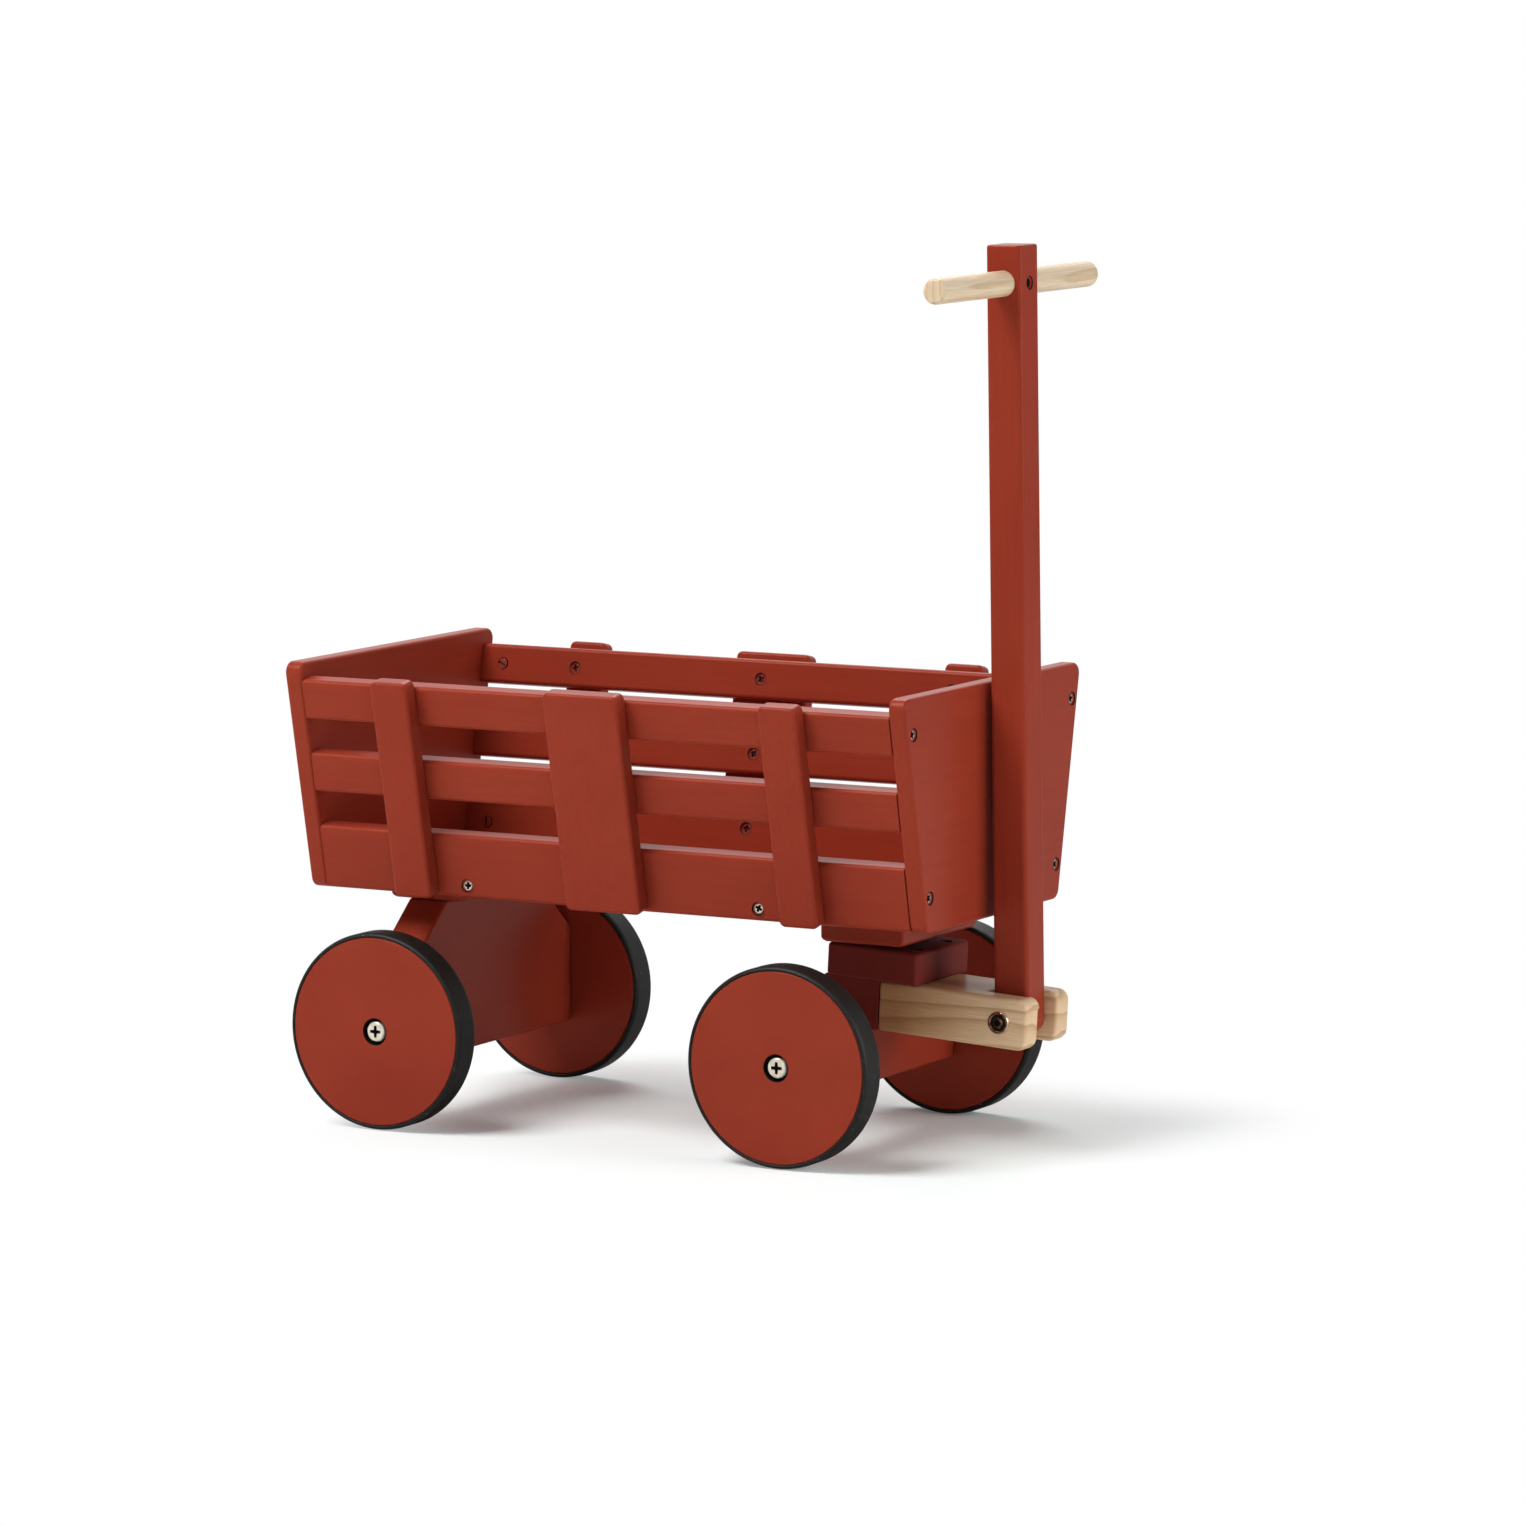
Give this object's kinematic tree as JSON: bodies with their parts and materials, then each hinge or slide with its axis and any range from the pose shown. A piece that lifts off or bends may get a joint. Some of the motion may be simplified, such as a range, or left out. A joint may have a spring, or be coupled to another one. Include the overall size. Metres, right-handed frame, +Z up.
{
  "type": "toy pull wagon",
  "caption": "Child's wooden pull wagon with a slatted, flared box, disc wheels with thin tyres, a steered front truck and a hinged upright handle with a cross grip.",
  "frame": {"origin": "on the ground, in the middle of the bounding box's underside", "axes": "+X the way the wagon is pulled, +Y to its left, +Z up"},
  "size_m": [0.483, 0.261, 0.5649],
  "materials": {
    "red_wood": "satin red paint on pine",
    "natural_wood": "clear satin lacquer",
    "tyre_rubber": "matte",
    "nickel": "bright nickel plate",
    "dark_nickel": "dark bronze-tinted nickel plate",
    "painted_steel": "red enamel over steel",
    "steel": "zinc plate"
  },
  "bodies": {
    "chassis": {"floor_panel": "red_wood", "front_end_board": "red_wood", "rear_end_board": "red_wood", "right_low_slat": "red_wood", "right_mid_slat": "red_wood", "right_top_slat": "red_wood", "left_low_slat": "red_wood", "left_mid_slat": "red_wood", "left_top_slat": "red_wood", "right_rear_stake": "red_wood", "right_wide_stake": "red_wood", "right_front_stake": "red_wood", "left_rear_stake": "red_wood", "left_wide_stake": "red_wood", "left_front_stake": "red_wood", "rear_bolster": "red_wood", "front_bolster": "red_wood", "rear_axle_block": "red_wood", "end_board_screws": "nickel", "cross_dowels": "painted_steel", "stake_screws": "painted_steel", "floor_edge_screws": "nickel", "bolster_screws": "nickel", "axle_block_screws": "nickel", "rear_wheel_screws": "nickel", "rear_axle_washers": "steel", "king_bolt": "steel", "king_nut": "steel", "king_washer": "steel", "turntable_washer": "steel"},
    "truck": {"turntable_block": "red_wood", "truck_block": "red_wood", "front_axle_beam": "red_wood", "drawbar_fork": "natural_wood", "turntable_screws": "nickel", "beam_screws": "nickel", "front_wheel_screws": "nickel", "front_axle_washers": "steel", "pivot_sleeve": "dark_nickel", "pivot_bolt": "dark_nickel"},
    "handle": {"handle_bar": "red_wood", "grip_dowel": "natural_wood", "grip_screw": "dark_nickel"},
    "rear_right_wheel": {"rear_right_disc": "red_wood", "rear_right_tyre": "tyre_rubber"},
    "rear_left_wheel": {"rear_left_disc": "red_wood", "rear_left_tyre": "tyre_rubber"},
    "front_right_wheel": {"front_right_disc": "red_wood", "front_right_tyre": "tyre_rubber"},
    "front_left_wheel": {"front_left_disc": "red_wood", "front_left_tyre": "tyre_rubber"}
  },
  "joints": [
    {"name": "truck_steer", "type": "hinge", "parent": "chassis", "child": "truck", "pos_m": [0.13652, 0, 0.1315], "axis": [0, 0, 1], "range_deg": [-10, 10]},
    {"name": "handle_lower", "type": "hinge", "parent": "truck", "child": "handle", "pos_m": [0.2214, 0, 0.08623], "axis": [0, 1, 0], "range_deg": [0, 95]},
    {"name": "rear_right_wheel_roll", "type": "hinge", "parent": "chassis", "child": "rear_right_wheel", "pos_m": [-0.17448, 0, 0.063], "axis": [0, 1, 0], "continuous": true},
    {"name": "rear_left_wheel_roll", "type": "hinge", "parent": "chassis", "child": "rear_left_wheel", "pos_m": [-0.17448, 0, 0.063], "axis": [0, 1, 0], "continuous": true},
    {"name": "front_right_wheel_roll", "type": "hinge", "parent": "truck", "child": "front_right_wheel", "pos_m": [0.11552, 0, 0.063], "axis": [0, 1, 0], "continuous": true},
    {"name": "front_left_wheel_roll", "type": "hinge", "parent": "truck", "child": "front_left_wheel", "pos_m": [0.11552, 0, 0.063], "axis": [0, 1, 0], "continuous": true}
  ]
}
